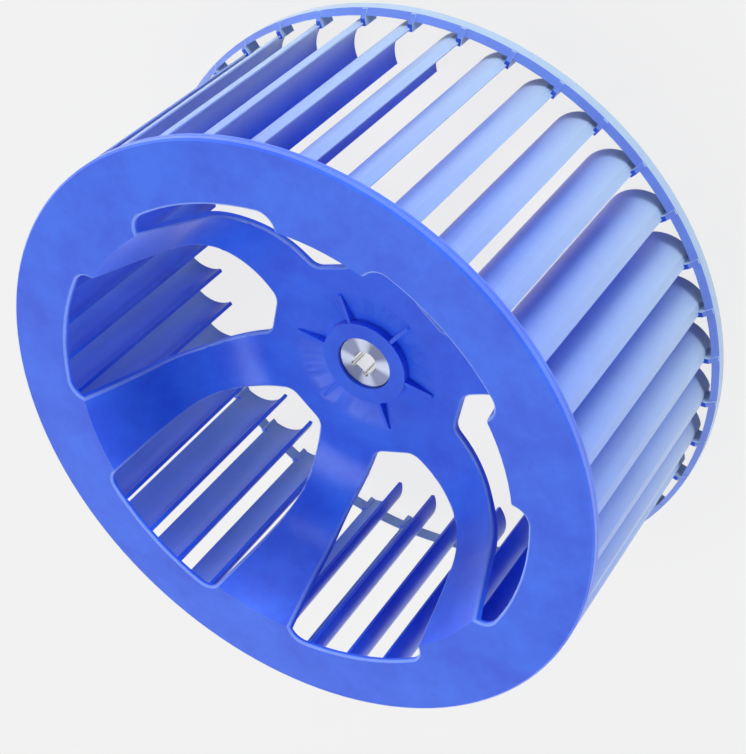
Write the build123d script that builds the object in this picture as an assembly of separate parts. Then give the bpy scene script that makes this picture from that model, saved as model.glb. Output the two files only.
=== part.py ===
from build123d import *
import math
import os

# Blower wheel: one plastic moulding with a turned metal insert moulded into its boss.
# Millimetres, +Z up.  The wheel stands on its inlet ring with the flange on top, axis on Z.
# Depths are measured down from the flange's face.  Angles run round Z from +X.

# overall
flange_radius = 100.0
overall_width = 89.0

# blades: each is an arc of constant thickness, drawn in plan and run the full width
blade_count = 39
blade_phase_deg = 23.96
blade_inset = 0.1
blade_depth = 15.4
blade_arc_radius = 11.6
blade_crest = 0.37
blade_thickness = 1.3
blade_tip_deg = 10.5

# front flange, with a deeper edge
flange_thickness = 1.6
rim_depth = 3.4
rim_wall = 2.2
rim_chamfer = 0.6

# dished disc
wall_thickness = 2.0
arm_root_margin = 8.8
dish_slope_deg = 17.0
disc_depth = 48.8
disc_flat_radius = 38.6

# windows, which leave the arms between them
window_count = 6
window_phase_deg = -32.0
window_margin = 4.1
window_half_width = 25.0
window_taper_deg = 35.0
window_inner_radius = 34.5
window_inner_half = 7.2
window_inner_round = 5.0
window_side_round = 26.0
window_outer_round = 5.5

# boss, the dip round it and the thin ribs in the dip
boss_wall = 5.3
boss_face_depth = 48.2
dip_width = 11.2
dip_floor_width = 1.4
dip_depth = 1.9
hub_rib_phase_deg = -30.0
hub_rib_width = 1.2
hub_rib_reach = 10.9
hub_rib_inset = 0.2

# hub insert, moulded into the boss and sunk a little below both of its faces
insert_radius = 9.5
insert_length = 16.0
insert_recess = 1.0
insert_chamfer = 0.4

# shaft hole with a flat and a round relief at each end of the flat
shaft_radius = 4.0
shaft_flat_cut = 0.9
shaft_flat_phase_deg = -143.0
relief_radius = 0.95
relief_offset = 0.75

# inlet ring, outside the blades
ring_clearance = 1.95
ring_front_depth = 83.6
ring_draft = 0.7
ring_chamfer = 1.85

# lugs that join the blades to the ring, each a plate that stands a little proud of the ring's chamfer
lug_width = 1.6
lug_lead = 1.1
lug_rise = 0.5
lug_end_inset = 0.15
lug_bite = 1.0
lug_setback = 0.1

# sizes that follow from the ones above
blade_outer_radius = flange_radius - blade_inset
blade_inner_radius = blade_outer_radius - blade_depth
blade_centre_radius = blade_outer_radius + blade_crest - blade_arc_radius
arm_root_radius = blade_inner_radius - arm_root_margin
window_outer_radius = blade_inner_radius - window_margin
boss_radius = insert_radius + boss_wall
boss_end_depth = boss_face_depth + insert_length + 2 * insert_recess
insert_face_depth = boss_face_depth + insert_recess


def rounded(corners):
    """Closed loop of edges in plan or section; each corner is (x, y, radius)."""
    ends = []
    for i, (x, y, radius) in enumerate(corners):
        here = Vector(x, y)
        before = (Vector(*corners[i - 1][:2]) - here).normalized()
        after = (Vector(*corners[(i + 1) % len(corners)][:2]) - here).normalized()
        if radius == 0:
            ends.append((here, None, here))
            continue
        half = math.radians(before.get_angle(after)) / 2
        run = radius / math.tan(half)
        centre = here + (before + after).normalized() * (radius / math.sin(half))
        middle = centre + (here - centre).normalized() * radius
        ends.append((here + before * run, middle, here + after * run))
    edges = []
    for i, (first, middle, last) in enumerate(ends):
        if middle is not None:
            edges.append(ThreePointArc(first, middle, last))
        edges.append(Line(last, ends[(i + 1) % len(ends)][0]))
    return edges


def section(corners):
    """Half section from (radius, depth, rounding) corners, standing in the XZ plane."""
    flat = Face(Wire(rounded([(r, overall_width - depth, rounding) for r, depth, rounding in corners])))
    return Plane.XZ * flat


def spin(corners):
    return revolve(section(corners), Axis.Z, 360)


def prism(face, low, high):
    """Plan face run up from height low to height high."""
    return extrude(Pos(0, 0, low) * face, high - low)


def ring_of(shape, count, phase_deg):
    return [Rot(0, 0, phase_deg + i * 360 / count) * shape for i in range(count)]


def dish():
    """Flange, arms before the windows are cut, disc, dip and boss, all as one turned shape."""
    slope = math.tan(math.radians(dish_slope_deg))
    corner_radius = arm_root_radius - disc_depth * slope
    half_turn = math.tan(math.radians((90 + dish_slope_deg) / 2))
    bend = (corner_radius - disc_flat_radius) * half_turn
    back = arm_root_radius + wall_thickness / math.cos(math.radians(dish_slope_deg))
    disc_back = disc_depth + wall_thickness
    floor_depth = disc_depth + dip_depth
    floor_radius = boss_radius + dip_floor_width
    return spin([
        (flange_radius, rim_depth, 0),
        (flange_radius, rim_chamfer, 0),
        (flange_radius - rim_chamfer, 0, 0),
        (arm_root_radius, 0, 0),
        (corner_radius, disc_depth, bend),
        (boss_radius + dip_width, disc_depth, 0),
        (floor_radius, floor_depth, 0),
        (boss_radius, floor_depth, 0),
        (boss_radius, boss_face_depth, 0),
        (insert_radius, boss_face_depth, 0),
        (insert_radius, boss_end_depth, 0),
        (boss_radius, boss_end_depth, 0),
        (boss_radius, floor_depth + wall_thickness, 0),
        (floor_radius, floor_depth + wall_thickness, 0),
        (boss_radius + dip_width, disc_back, 0),
        (back - disc_back * slope, disc_back, bend + wall_thickness),
        (back - flange_thickness * slope, flange_thickness, 0),
        (flange_radius - rim_wall, flange_thickness, 0),
        (flange_radius - rim_wall, rim_depth, 0),
    ])


def window():
    """Plan of one window, centred on +X: it widens from the disc, then runs straight to the flange."""
    half = window_half_width
    taper = math.tan(math.radians(window_taper_deg))
    side_x = window_inner_radius + (half - window_inner_half) / taper
    outer_x = math.sqrt(window_outer_radius**2 - half**2)
    loop = rounded([
        (window_inner_radius, -window_inner_half, window_inner_round),
        (side_x, -half, window_side_round),
        (outer_x, -half, 0),
        (outer_x, half, 0),
        (side_x, half, window_side_round),
        (window_inner_radius, window_inner_half, window_inner_round),
    ])
    bow = ThreePointArc((outer_x, -half), (window_outer_radius, 0), (outer_x, half))
    cap = Face(Wire([bow, Line((outer_x, half), (outer_x, -half))]))
    plan = Sketch() + Face(Wire(loop)) + cap
    tips = plan.vertices().filter_by(lambda v: abs(v.X - outer_x) < 0.01)
    return fillet(tips, window_outer_round)


def hub_rib():
    """One thin rib, level with the boss face, running out across the dip."""
    top = boss_face_depth + hub_rib_inset
    sunk = wall_thickness / 2
    reach = boss_radius + hub_rib_reach
    root = boss_radius - boss_wall / 4
    plate = section([
        (root, top, 0),
        (reach - hub_rib_width, top, 0),
        (reach, disc_depth + sunk / 2, 0),
        (boss_radius + dip_floor_width, disc_depth + dip_depth + sunk, 0),
        (root, disc_depth + dip_depth + sunk, 0),
    ])
    return extrude(plate, hub_rib_width / 2, dir=(0, 1, 0), both=True)


def blade_plan():
    """Plan of one blade; its arc's centre lies on +X and the tip points towards -Y."""
    centre = blade_centre_radius
    outer = blade_arc_radius + blade_thickness / 2
    inner = blade_arc_radius - blade_thickness / 2

    def on_arc(radius, angle):
        return Vector(centre + radius * math.cos(angle), radius * math.sin(angle))

    def reach_angle(radius, wheel_radius):
        cosine = (wheel_radius**2 - centre**2 - radius**2) / (2 * centre * radius)
        return math.acos(cosine)

    root = reach_angle(blade_arc_radius, blade_inner_radius)
    land = reach_angle(outer, blade_outer_radius)
    tip = math.radians(blade_tip_deg)
    tip_inside = on_arc(inner, tip)
    tip_outside = tip_inside.normalized() * blade_outer_radius
    land_start = on_arc(outer, land)
    land_middle = (tip_outside + land_start).normalized() * blade_outer_radius
    return Face(Wire([
        ThreePointArc(land_start, on_arc(outer, (land + root) / 2), on_arc(outer, root)),
        Line(on_arc(outer, root), on_arc(inner, root)),
        ThreePointArc(on_arc(inner, root), on_arc(inner, (tip + root) / 2), tip_inside),
        Line(tip_inside, tip_outside),
        ThreePointArc(tip_outside, land_middle, land_start),
    ])), math.degrees(math.atan2(tip_outside.Y, tip_outside.X))


def lug(tip_deg):
    """One lug: a plate from the blade's tip to the ring, its front sloping as the ring's chamfer does."""
    inside = blade_outer_radius + ring_clearance
    root = blade_outer_radius - lug_bite
    end = inside + ring_chamfer - lug_end_inset
    front = ring_front_depth - lug_lead
    slope_start = inside - lug_lead + lug_rise
    plate = section([
        (root, front, 0),
        (slope_start, front, 0),
        (end, front + end - slope_start, 0),
        (end, overall_width, 0),
        (root, overall_width, 0),
    ])
    turn = tip_deg + math.degrees(lug_setback / blade_outer_radius)
    return Rot(0, 0, turn) * extrude(plate, lug_width / 2, dir=(0, 1, 0), both=True)


def inlet_ring():
    inside = blade_outer_radius + ring_clearance
    outside = inside + ring_chamfer
    return spin([
        (inside, ring_front_depth, 0),
        (outside, ring_front_depth + ring_chamfer, 0),
        (outside, overall_width, 0),
        (inside + ring_draft, overall_width, 0),
    ])


def wheel():
    body = dish()
    cutter = prism(window(), -1, overall_width + 1)
    body = body - ring_of(cutter, window_count, window_phase_deg)
    plan, tip_deg = blade_plan()
    blade = prism(plan, 0, overall_width - flange_thickness / 2)
    added = [inlet_ring()]
    added += ring_of(hub_rib(), window_count, hub_rib_phase_deg)
    added += ring_of(blade, blade_count, blade_phase_deg)
    added += ring_of(lug(tip_deg), blade_count, blade_phase_deg)
    return body + added


def shaft_hole():
    """Plan of the D-shaped hole with its two reliefs, flat side facing +X."""
    flat = shaft_radius - shaft_flat_cut
    half = math.sqrt(shaft_radius**2 - flat**2)
    hole = Circle(shaft_radius) - Pos(flat + shaft_radius, 0) * Rectangle(2 * shaft_radius, 4 * shaft_radius)
    for side in (1, -1):
        hole += Pos(flat + relief_offset, side * half) * Circle(relief_radius)
    return Rot(0, 0, shaft_flat_phase_deg) * hole


def hub_insert():
    """Turned insert; the shaft hole runs right through."""
    front = insert_face_depth
    rear = front + insert_length
    turned = spin([
        (0, front, 0),
        (insert_radius - insert_chamfer, front, 0),
        (insert_radius, front + insert_chamfer, 0),
        (insert_radius, rear, 0),
        (0, rear, 0),
    ])
    return turned - prism(shaft_hole(), overall_width - rear - 1, overall_width - front + 1)


os.makedirs("parts", exist_ok=True)
export_step(wheel(), "parts/wheel.step")
export_step(hub_insert(), "parts/hub_insert.step")
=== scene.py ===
import math

import bmesh
import bpy
from mathutils import Matrix, Vector


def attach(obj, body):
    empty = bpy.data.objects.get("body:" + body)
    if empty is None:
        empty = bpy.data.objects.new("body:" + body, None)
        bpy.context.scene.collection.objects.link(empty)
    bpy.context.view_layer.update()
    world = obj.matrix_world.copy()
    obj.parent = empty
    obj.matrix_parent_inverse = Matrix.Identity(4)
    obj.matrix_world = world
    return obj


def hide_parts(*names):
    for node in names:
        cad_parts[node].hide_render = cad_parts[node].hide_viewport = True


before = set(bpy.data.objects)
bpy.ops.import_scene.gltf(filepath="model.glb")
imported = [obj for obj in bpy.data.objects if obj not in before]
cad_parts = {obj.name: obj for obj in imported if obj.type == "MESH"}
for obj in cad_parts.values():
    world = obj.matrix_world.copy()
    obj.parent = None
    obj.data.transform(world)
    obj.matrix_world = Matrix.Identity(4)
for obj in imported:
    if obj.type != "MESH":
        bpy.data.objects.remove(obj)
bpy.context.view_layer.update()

# the camera at the photograph's angle, in the frame's metres
CAMERA_PLACE = (0.30058, 0.21201, 0.39142)
CAMERA_RIGHT = (0.80974, -0.30861, -0.49908)
CAMERA_UP = (0.0, 0.85053, -0.52593)
CAMERA_LENS = 76.62
CAMERA_NEAR = 0.01
SENSOR_SIZE = 36.0

# the pale backdrop, and the light that the sky gives at each height above the horizon
PALE = 0.903
PALE_COLOUR = (PALE, PALE, PALE, 1)
SKY_LEVELS = ((0.0, 1.0), (0.13, 0.9), (0.22, 0.07), (0.7, 0.02))
SKY_STRENGTH = 5.1

# the floor, just below the ring so that the two don't share a surface
FLOOR_HALF = 4.0
FLOOR_DROP = 0.0002
FLOOR_GLOW = 0.9
FLOOR_SURFACE = {"Base Color": PALE_COLOUR, "Roughness": 1.0, "Specular IOR Level": 0.0}

# a lamp overhead and a weaker one low at the side
LAMP_TARGET = (0, 0, 0.04)
LAMP_PLACE = (-0.30, -0.20, 1.30)
LAMP_SIZE = 0.8
LAMP_POWER = 9.6
SIDE_PLACE = (0.35, 1.50, 0.22)
SIDE_SIZE = 0.7
SIDE_POWER = 8.0

# the plastic's colours, linear: the two ends of its mottle, a painted sheen (a pale reflection of bright
# surroundings painted into the colour) and a painted highlight for the rounded window fronts
BLUE_DEEP = (0.003, 0.082, 0.800)
BLUE_PALE = (0.014, 0.140, 0.940)
BLUE_PAINTED_SHEEN = (0.440, 0.600, 0.810)
BLUE_EDGE_HIGHLIGHT = (0.300, 0.460, 0.920)
MOTTLE = {"Scale": 48.0, "Detail": 9.0, "Roughness": 0.68}
MOTTLE_DEEP_END = 0.36
MOTTLE_PALE_END = 0.64

# the plastic's satin surface and fine grain
PLASTIC_SURFACE = {
    "Roughness": 0.40,
    "IOR": 1.38,
    "Coat Weight": 0.12,
    "Coat IOR": 1.5,
    "Coat Roughness": 0.2,
    "Sheen Weight": 0.3,
    "Sheen Roughness": 0.5,
}
GRAIN = {"Scale": 900.0, "Detail": 3.0, "Roughness": 0.6}
GRAIN_RELIEF = {"Strength": 0.12, "Distance": 0.0002}

# the upright walls get a painted sheen, a pale reflection of bright surroundings painted into the
# colour: it rises outwards between these two radii
SHEEN_FROM = 0.0868
SHEEN_FULL = 0.1025

# the share of that painted sheen at the front end of a blade and on the rim; at the ring it is whole
SHEEN_FRONT_SHARE = 0.55
SHEEN_RIM_SHARE = 0.18
RIM_BACK = 0.0856
RIM_BLEND = 0.0001

# how far the rounded front of a window goes to its painted highlight colour
EDGE_HIGHLIGHT_SHARE = 0.55

# the insert: metal turned on a lathe, with sweeps of light painted into its colour as painted
# highlights, and a smoother wall in the shaft hole
METAL_DULL = (0.18, 0.20, 0.30)
METAL_PAINTED_GLEAM = (0.46, 0.50, 0.62)
METAL_BORE = (0.96, 0.96, 0.97)
TURNED_SURFACE = {"Metallic": 1.0, "Roughness": 0.3, "Anisotropic": 0.5}
TURNED_RINGS = {"Scale": 900.0, "Distortion": 2.0, "Detail": 2.0}
TURNED_RELIEF = {"Strength": 0.15, "Distance": 0.00005}
# the painted highlights: how many go round the axis, where the first stands, and where each starts to
# rise
GLEAM_COUNT = 4
GLEAM_PHASE = math.radians(75)
GLEAM_START = -0.4
BORE_RADIUS = 0.0062
BORE_SURFACE = {"Base Color": (*METAL_BORE, 1), "Metallic": 1.0, "Roughness": 0.12}
BORE_MARKS = {"Scale": 1200.0, "Detail": 2.0}
BORE_RELIEF = {"Strength": 0.1, "Distance": 0.00003}

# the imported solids' facets are joined where they meet and lie flat
MERGE_GAP = 0.000002
FLAT_WITHIN = math.radians(0.3)

# a face is a wall where its normal rises less than UPRIGHT, and a front where it rises more than FORWARD
UPRIGHT = 0.05
FORWARD = 0.2

# the small radius asked for on each sharp edge; the modifier holds it to what the nearest edges allow,
# which leaves about 0.003 mm on the wheel and 0.05 mm on the insert
WHEEL_EDGE = 0.00035
INSERT_EDGE = 0.00018
EDGE_STEPS = 2
EDGE_ANGLE = math.radians(15)

# the larger radius round the front of each window, and where its edges lie
WINDOW_EDGE = 0.0009
WINDOW_STEPS = 4
WINDOW_PROFILE = 0.5
WINDOW_RADII = (0.030, 0.082)
WINDOW_LOWEST = 0.035

# the shallow groove where the mould's halves met, round the rim
PART_LINE_HEIGHT = 0.0867
PART_LINE_HALF = 0.00022
PART_LINE_FLOOR = 0.00008
PART_LINE_DEPTH = 0.00010
RIM_RADIUS = 0.100
RIM_MARGIN = 0.0002
CUT_TOLERANCE = 0.0000001
HEIGHT_TOLERANCE = 0.00001

# the sockets of a mix node, whose names are the same for numbers and for colours
MIX_SHARE = 0
MIX_NUMBER_FIRST = 2
MIX_NUMBER_SECOND = 3
MIX_COLOUR_FIRST = 6
MIX_COLOUR_SECOND = 7
MIX_NUMBER_RESULT = 0
MIX_COLOUR_RESULT = 2


def set_inputs(node, values):
    for key, value in values.items():
        node.inputs[key].default_value = value


def new_material(name, surface):
    """A material with the surface's values on its shader's own sockets."""
    material = bpy.data.materials.new(name)
    material.use_nodes = True
    tree = material.node_tree
    shader = tree.nodes["Principled BSDF"]
    set_inputs(shader, surface)
    return material, tree, shader


def add(tree, kind, inputs=None, **settings):
    """One shader node with its settings and its input values."""
    node = tree.nodes.new(kind)
    for key, value in settings.items():
        setattr(node, key, value)
    set_inputs(node, inputs or {})
    return node


def product(tree, first, second):
    """The product of two outputs."""
    node = add(tree, "ShaderNodeMath", operation="MULTIPLY")
    tree.links.new(first, node.inputs[0])
    tree.links.new(second, node.inputs[1])
    return node.outputs["Value"]


def blend(tree, share, first, second):
    """The colour of an output, turned to a fixed colour by the share that an output gives."""
    node = add(tree, "ShaderNodeMix", {MIX_COLOUR_SECOND: (*second, 1)}, data_type="RGBA")
    tree.links.new(share, node.inputs[MIX_SHARE])
    tree.links.new(first, node.inputs[MIX_COLOUR_FIRST])
    return node.outputs[MIX_COLOUR_RESULT]


def emboss(tree, shader, place, pattern, relief):
    """A pattern that lies still on the piece, felt by the shader as a fine relief."""
    link = tree.links.new
    bump = add(tree, "ShaderNodeBump", relief)
    link(place.outputs["Object"], pattern.inputs["Vector"])
    link(pattern.outputs["Fac"], bump.inputs["Height"])
    link(bump.outputs["Normal"], shader.inputs["Normal"])


def mottled_blue(tree, place):
    """The cloudy body colour."""
    cloud = add(tree, "ShaderNodeTexNoise", MOTTLE)
    tint = add(tree, "ShaderNodeValToRGB")
    deep, pale = tint.color_ramp.elements
    deep.position = MOTTLE_DEEP_END
    deep.color = (*BLUE_DEEP, 1)
    pale.position = MOTTLE_PALE_END
    pale.color = (*BLUE_PALE, 1)
    tree.links.new(place.outputs["Object"], cloud.inputs["Vector"])
    tree.links.new(cloud.outputs["Fac"], tint.inputs["Fac"])
    return tint.outputs["Color"]


def sheen_radius_share(tree, place):
    """Rises from 0 to 1 between the two radii where the painted sheen comes in."""
    link = tree.links.new
    flat = add(tree, "ShaderNodeVectorMath", {1: (1, 1, 0)}, operation="MULTIPLY")
    radius = add(tree, "ShaderNodeVectorMath", operation="LENGTH")
    share = add(tree, "ShaderNodeMapRange", {"From Min": SHEEN_FROM, "From Max": SHEEN_FULL},
                interpolation_type="SMOOTHSTEP")
    link(place.outputs["Object"], flat.inputs[0])
    link(flat.outputs["Vector"], radius.inputs[0])
    link(radius.outputs["Value"], share.inputs["Value"])
    return share.outputs["Result"]


def sheen_height_share(tree, place):
    """The painted sheen's share by height: falls from 1 at the ring to a part of it at the front end of
    a blade, and again on the rim.
    """
    link = tree.links.new
    split = add(tree, "ShaderNodeSeparateXYZ")
    blade = add(tree, "ShaderNodeMapRange", {"From Min": 0.0, "From Max": RIM_BACK,
                                             "To Min": 1.0, "To Max": SHEEN_FRONT_SHARE})
    rim = add(tree, "ShaderNodeMapRange", {"From Min": RIM_BACK, "From Max": RIM_BACK + RIM_BLEND,
                                           "To Min": 1.0, "To Max": SHEEN_RIM_SHARE / SHEEN_FRONT_SHARE})
    link(place.outputs["Object"], split.inputs["Vector"])
    link(split.outputs["Z"], blade.inputs["Value"])
    link(split.outputs["Z"], rim.inputs["Value"])
    return product(tree, blade.outputs["Result"], rim.outputs["Result"])


def wall_share(tree):
    """1 on an upright wall and 0 on a level face, so that the painted sheen lies on the walls."""
    link = tree.links.new
    shape = add(tree, "ShaderNodeNewGeometry")
    facing = add(tree, "ShaderNodeSeparateXYZ")
    level = add(tree, "ShaderNodeMath", operation="ABSOLUTE")
    upright = add(tree, "ShaderNodeMath", {0: 1.0}, operation="SUBTRACT")
    link(shape.outputs["True Normal"], facing.inputs["Vector"])
    link(facing.outputs["Z"], level.inputs[0])
    link(level.outputs["Value"], upright.inputs[1])
    return upright.outputs["Value"]


def blue_plastic():
    """Satin moulded plastic, faintly mottled, with a painted sheen on its outer walls and a painted
    highlight on the rounded front of each window.
    """
    material, tree, shader = new_material("blue_plastic", PLASTIC_SURFACE)
    place = add(tree, "ShaderNodeTexCoord")
    outer = product(tree, sheen_radius_share(tree, place), sheen_height_share(tree, place))
    # painted sheen: the outer upright walls turned towards a pale colour, a reflection of bright
    # surroundings painted in
    painted_sheen = product(tree, outer, wall_share(tree))
    body = blend(tree, painted_sheen, mottled_blue(tree, place), BLUE_PAINTED_SHEEN)
    # painted highlight: the middle of each rounded window front turned towards a paler colour
    rounded = add(tree, "ShaderNodeAttribute", attribute_name="painted_edge_highlight")
    share = add(tree, "ShaderNodeMath", {1: EDGE_HIGHLIGHT_SHARE}, operation="MULTIPLY")
    tree.links.new(rounded.outputs["Fac"], share.inputs[0])
    surface = blend(tree, share.outputs["Value"], body, BLUE_EDGE_HIGHLIGHT)
    tree.links.new(surface, shader.inputs["Base Color"])
    emboss(tree, shader, place, add(tree, "ShaderNodeTexNoise", GRAIN), GRAIN_RELIEF)
    return material


def painted_gleam_share(tree, place):
    """The painted highlights' share: rises and falls GLEAM_COUNT times round the axis, from 0 to 1."""
    link = tree.links.new
    turn = add(tree, "ShaderNodeTexGradient", gradient_type="RADIAL")
    wide = add(tree, "ShaderNodeMath", {1: 2 * math.pi * GLEAM_COUNT}, operation="MULTIPLY")
    shift = add(tree, "ShaderNodeMath", {1: GLEAM_COUNT * GLEAM_PHASE}, operation="SUBTRACT")
    swing = add(tree, "ShaderNodeMath", operation="COSINE")
    gleam = add(tree, "ShaderNodeMapRange", {"From Min": GLEAM_START, "From Max": 1.0},
                interpolation_type="SMOOTHSTEP")
    link(place.outputs["Object"], turn.inputs["Vector"])
    link(turn.outputs["Fac"], wide.inputs[0])
    link(wide.outputs["Value"], shift.inputs[0])
    link(shift.outputs["Value"], swing.inputs[0])
    link(swing.outputs["Value"], gleam.inputs["Value"])
    return gleam.outputs["Result"]


def turned_metal():
    """Metal turned on a lathe: fine rings, and painted highlights in its colour, sweeps of light that
    run out from the centre.
    """
    material, tree, shader = new_material("turned_metal", TURNED_SURFACE)
    link = tree.links.new
    place = add(tree, "ShaderNodeTexCoord")
    # painted highlights: the colour swings round the axis between METAL_DULL and a brighter painted
    # gleam
    painted_gleams = add(tree, "ShaderNodeMix", {MIX_COLOUR_FIRST: (*METAL_DULL, 1),
                                       MIX_COLOUR_SECOND: (*METAL_PAINTED_GLEAM, 1)}, data_type="RGBA")
    link(painted_gleam_share(tree, place), painted_gleams.inputs[MIX_SHARE])
    link(painted_gleams.outputs[MIX_COLOUR_RESULT], shader.inputs["Base Color"])
    round_axis = add(tree, "ShaderNodeTangent", direction_type="RADIAL", axis="Z")
    link(round_axis.outputs["Tangent"], shader.inputs["Tangent"])
    rings = add(tree, "ShaderNodeTexWave", TURNED_RINGS, wave_type="RINGS", rings_direction="Z")
    emboss(tree, shader, place, rings, TURNED_RELIEF)
    return material


def bore_metal():
    """The wall of the shaft hole, smoother and brighter than the turned face."""
    material, tree, shader = new_material("bore_metal", BORE_SURFACE)
    place = add(tree, "ShaderNodeTexCoord")
    emboss(tree, shader, place, add(tree, "ShaderNodeTexNoise", BORE_MARKS), BORE_RELIEF)
    return material


def is_window_front(edge):
    """True for an edge between the front of the plate or dish and a window's wall."""
    if len(edge.link_faces) != 2 or edge.calc_face_angle(0) < EDGE_ANGLE:
        return False
    slopes = [face.normal.z for face in edge.link_faces]
    middle = (edge.verts[0].co + edge.verts[1].co) / 2
    beside_wall = min(abs(slope) for slope in slopes) < UPRIGHT
    in_place = WINDOW_RADII[0] < middle.xy.length < WINDOW_RADII[1] and middle.z > WINDOW_LOWEST
    return max(slopes) > FORWARD and beside_wall and in_place


def round_windows(mesh):
    """The larger radius, with the middle of each strip marked for a painted highlight."""
    strip = mesh.faces.layers.int["rounded_strip"]
    # the layer that carries the painted highlight along each window front
    pale = mesh.verts.layers.float["painted_edge_highlight"]
    fronts = [edge for edge in mesh.edges if is_window_front(edge)]
    made = bmesh.ops.bevel(mesh, geom=fronts, offset=WINDOW_EDGE, offset_type="OFFSET",
                           segments=WINDOW_STEPS, profile=WINDOW_PROFILE, affect="EDGES",
                           clamp_overlap=False, loop_slide=True)
    for face in made["faces"]:
        face[strip] = 1
    for vert in made["verts"]:
        inside = all(face[strip] for face in vert.link_faces)
        vert[pale] = 1.0 if inside else 0.0


def weigh_edges(mesh):
    """Marks each edge that is still sharp, for the small radius."""
    strip = mesh.faces.layers.int["rounded_strip"]
    weight = mesh.edges.layers.float["bevel_weight_edge"]
    for edge in mesh.edges:
        open_or_done = len(edge.link_faces) != 2 or any(face[strip] for face in edge.link_faces)
        sharp = not open_or_done and edge.calc_face_angle(0) > EDGE_ANGLE
        edge[weight] = 1.0 if sharp else 0.0


def mark_bore(mesh):
    """The wall of the shaft hole takes the second material."""
    for face in mesh.faces:
        upright = abs(face.normal.z) < UPRIGHT
        if upright and max(vert.co.xy.length for vert in face.verts) < BORE_RADIUS:
            face.material_index = 1


def on_rim(vert):
    return vert.co.xy.length > RIM_RADIUS - RIM_MARGIN


def crosses_rim(face, height):
    """True for an upright face of the rim that lies partly below the height and partly above it."""
    heights = [vert.co.z for vert in face.verts]
    crosses = min(heights) < height < max(heights)
    return crosses and abs(face.normal.z) < UPRIGHT and all(on_rim(vert) for vert in face.verts)


def cut_part_line(mesh):
    """A shallow groove round the rim: four cuts, of which the inner two are then pushed in."""
    for offset in (-PART_LINE_HALF, -PART_LINE_FLOOR, PART_LINE_FLOOR, PART_LINE_HALF):
        height = PART_LINE_HEIGHT + offset
        band = [face for face in mesh.faces if crosses_rim(face, height)]
        parts = dict.fromkeys(band)
        for face in band:
            parts.update(dict.fromkeys(face.edges))
            parts.update(dict.fromkeys(face.verts))
        bmesh.ops.bisect_plane(mesh, geom=list(parts), dist=CUT_TOLERANCE,
                               plane_co=(0, 0, height), plane_no=(0, 0, 1))
    for vert in mesh.verts:
        in_floor = abs(vert.co.z - PART_LINE_HEIGHT) < PART_LINE_FLOOR + HEIGHT_TOLERANCE
        if in_floor and on_rim(vert):
            share = 1 - PART_LINE_DEPTH / vert.co.xy.length
            vert.co.x *= share
            vert.co.y *= share


def rework(data, steps):
    """Joins the facets of a mesh where they lie flat, and takes the steps on it."""
    mesh = bmesh.new()
    mesh.from_mesh(data)
    bmesh.ops.remove_doubles(mesh, verts=mesh.verts, dist=MERGE_GAP)
    bmesh.ops.dissolve_limit(mesh, angle_limit=FLAT_WITHIN, verts=mesh.verts, edges=mesh.edges)
    mesh.faces.layers.int.new("rounded_strip")
    mesh.verts.layers.float.new("painted_edge_highlight")
    mesh.edges.layers.float.new("bevel_weight_edge")
    for step in steps:
        step(mesh)
    for face in mesh.faces:
        face.smooth = True
    mesh.to_mesh(data)
    mesh.free()


def rounded_copy(node, name, width, steps):
    """The node's own solid as a new piece, with the steps taken and its sharp edges slightly rounded."""
    piece = bpy.data.objects.new(name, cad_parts[node].data.copy())
    bpy.context.scene.collection.objects.link(piece)
    rework(piece.data, steps)
    bevel = piece.modifiers.new("edge_radius", "BEVEL")
    bevel.width = width
    bevel.segments = EDGE_STEPS
    bevel.limit_method = "WEIGHT"
    bevel.use_clamp_overlap = True
    bevel.miter_outer = "MITER_ARC"
    normals = piece.modifiers.new("face_normals", "WEIGHTED_NORMAL")
    normals.mode = "FACE_AREA"
    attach(piece, "root")
    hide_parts(node)
    return piece


def dress(piece, slot, *materials):
    """The first material is the piece's own; the others are for faces that a step has marked."""
    marks = [face.material_index for face in piece.data.polygons]
    piece.data.materials.clear()
    for material in materials:
        piece.data.materials.append(material)
    if len(materials) > 1:
        piece.data.polygons.foreach_set("material_index", marks)


def backdrop_rays(tree):
    """1 for a ray that shows the plain backdrop, and 0 for a ray that brings light to a surface."""
    path = add(tree, "ShaderNodeLightPath")
    seen = path.outputs["Is Camera Ray"]
    for kind in ("Is Glossy Ray", "Is Transmission Ray"):
        either = add(tree, "ShaderNodeMath", operation="MAXIMUM")
        tree.links.new(seen, either.inputs[0])
        tree.links.new(path.outputs[kind], either.inputs[1])
        seen = either.outputs["Value"]
    return seen


def floor():
    """A wide pale floor, mostly a plain glow to the camera, so that it stays pale with a soft shadow."""
    bpy.ops.mesh.primitive_plane_add(size=2 * FLOOR_HALF, location=(0, 0, -FLOOR_DROP))
    plane = bpy.context.object
    plane.name = "floor"
    material, tree, shader = new_material("floor_pale", FLOOR_SURFACE)
    link = tree.links.new
    glow = add(tree, "ShaderNodeEmission", {"Color": PALE_COLOUR, "Strength": 1.0})
    share = add(tree, "ShaderNodeMath", {1: FLOOR_GLOW}, operation="MULTIPLY")
    mix = add(tree, "ShaderNodeMixShader")
    link(backdrop_rays(tree), share.inputs[0])
    link(share.outputs["Value"], mix.inputs["Fac"])
    link(shader.outputs["BSDF"], mix.inputs[1])
    link(glow.outputs["Emission"], mix.inputs[2])
    link(mix.outputs["Shader"], tree.nodes["Material Output"].inputs["Surface"])
    plane.data.materials.append(material)


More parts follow.
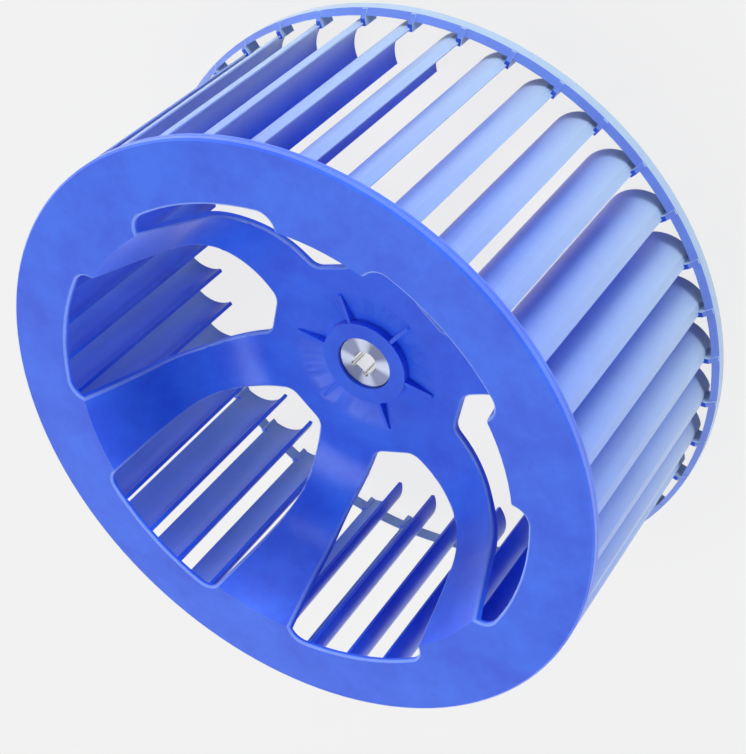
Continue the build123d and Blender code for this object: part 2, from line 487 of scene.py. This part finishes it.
def sky():
    """White near the ground and darker overhead; the camera sees the plain backdrop."""
    world = bpy.data.worlds.new("studio")
    bpy.context.scene.world = world
    world.use_nodes = True
    tree = world.node_tree
    link = tree.links.new
    ground = tree.nodes["Background"]
    ground.inputs["Color"].default_value = (1, 1, 1, 1)
    place = add(tree, "ShaderNodeTexCoord")
    split = add(tree, "ShaderNodeSeparateXYZ")
    fade = add(tree, "ShaderNodeValToRGB")
    stops = fade.color_ramp.elements
    for height, _ in SKY_LEVELS[1:-1]:
        stops.new(height)
    for stop, (height, brightness) in zip(stops, SKY_LEVELS):
        stop.position = height
        stop.color = (brightness, brightness, brightness, 1)
    light = add(tree, "ShaderNodeMath", {1: SKY_STRENGTH}, operation="MULTIPLY")
    level = add(tree, "ShaderNodeMix", {MIX_NUMBER_SECOND: PALE}, data_type="FLOAT")
    link(place.outputs["Generated"], split.inputs["Vector"])
    link(split.outputs["Z"], fade.inputs["Fac"])
    link(fade.outputs["Color"], light.inputs[0])
    link(light.outputs["Value"], level.inputs[MIX_NUMBER_FIRST])
    link(backdrop_rays(tree), level.inputs[MIX_SHARE])
    link(level.outputs[MIX_NUMBER_RESULT], ground.inputs["Strength"])


def soft_lamp(name, place, size, power):
    """A square lamp that is aimed at the wheel."""
    lamp = bpy.data.lights.new(name, "AREA")
    lamp.size = size
    lamp.energy = power
    holder = bpy.data.objects.new(name, lamp)
    bpy.context.scene.collection.objects.link(holder)
    holder.location = place
    aim = Vector(LAMP_TARGET) - Vector(place)
    holder.rotation_euler = aim.to_track_quat("-Z", "Y").to_euler()
    return holder


def camera():
    data = bpy.data.cameras.new("photo_view")
    data.lens = CAMERA_LENS
    data.sensor_width = SENSOR_SIZE
    data.clip_start = CAMERA_NEAR
    holder = bpy.data.objects.new("photo_view", data)
    bpy.context.scene.collection.objects.link(holder)
    right, up = Vector(CAMERA_RIGHT), Vector(CAMERA_UP)
    turn = Matrix((right, up, right.cross(up))).transposed().to_4x4()
    holder.matrix_world = Matrix.Translation(CAMERA_PLACE) @ turn
    bpy.context.scene.camera = holder


wheel = rounded_copy("wheel", "wheel_moulding", WHEEL_EDGE, (round_windows, weigh_edges, cut_part_line))
dress(wheel, "blue_plastic", blue_plastic())
insert = rounded_copy("hub_insert", "hub_insert_turned", INSERT_EDGE, (weigh_edges, mark_bore))
dress(insert, "bare_metal", turned_metal(), bore_metal())

floor()
sky()
soft_lamp("overhead", LAMP_PLACE, LAMP_SIZE, LAMP_POWER)
side = soft_lamp("side", SIDE_PLACE, SIDE_SIZE, SIDE_POWER)
side.visible_camera = False
camera()
bpy.context.scene.view_settings.view_transform = "Standard"
